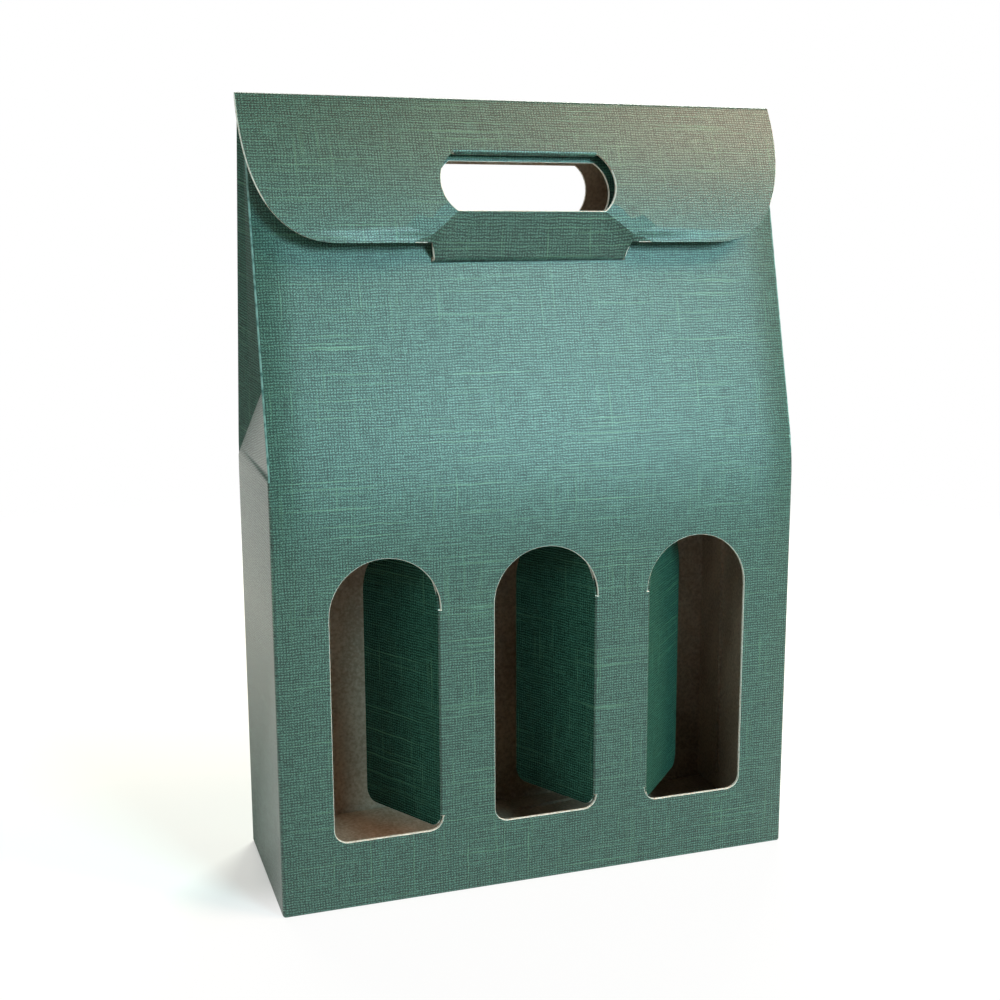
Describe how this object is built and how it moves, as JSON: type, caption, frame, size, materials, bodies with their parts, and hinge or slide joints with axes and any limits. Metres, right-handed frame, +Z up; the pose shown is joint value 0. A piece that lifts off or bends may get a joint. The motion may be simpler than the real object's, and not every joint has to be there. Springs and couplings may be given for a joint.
{
  "type": "bottle carrier box",
  "caption": "Tall folded card carrier for a row of bottles, with arched windows, leaning top, folded-in sides and a tuck-in closing flap with a hand hole.",
  "frame": {"origin": "middle of the base, on its underside", "axes": "+X along the width, the windows face -Y, +Z up"},
  "size_m": [0.2754, 0.094, 0.3872],
  "materials": {
    "green_card": "satin, linen embossed"
  },
  "bodies": {
    "carton": {"carton": "green_card"},
    "closing_flap": {"closing_flap": "green_card"},
    "left_window_flap": {"left_window_flap": "green_card"},
    "middle_window_flap": {"middle_window_flap": "green_card"},
    "right_window_flap": {"right_window_flap": "green_card"}
  },
  "joints": [
    {"name": "closing_flap_crease", "type": "hinge", "parent": "carton", "child": "closing_flap", "pos_m": [0, 0.0068, 0.3857], "axis": [-1, 0, 0], "range_deg": [0, 150]},
    {"name": "left_window_crease", "type": "hinge", "parent": "carton", "child": "left_window_flap", "pos_m": [-0.0542, -0.0455, 0.0935], "axis": [0, 0, -1], "range_deg": [-61.5, 33.5]},
    {"name": "middle_window_crease", "type": "hinge", "parent": "carton", "child": "middle_window_flap", "pos_m": [0.0273, -0.0455, 0.0935], "axis": [0, 0, -1], "range_deg": [-62.5, 32.5]},
    {"name": "right_window_crease", "type": "hinge", "parent": "carton", "child": "right_window_flap", "pos_m": [0.0542, -0.0455, 0.0935], "axis": [0, 0, 1], "range_deg": [-48, 47]}
  ]
}
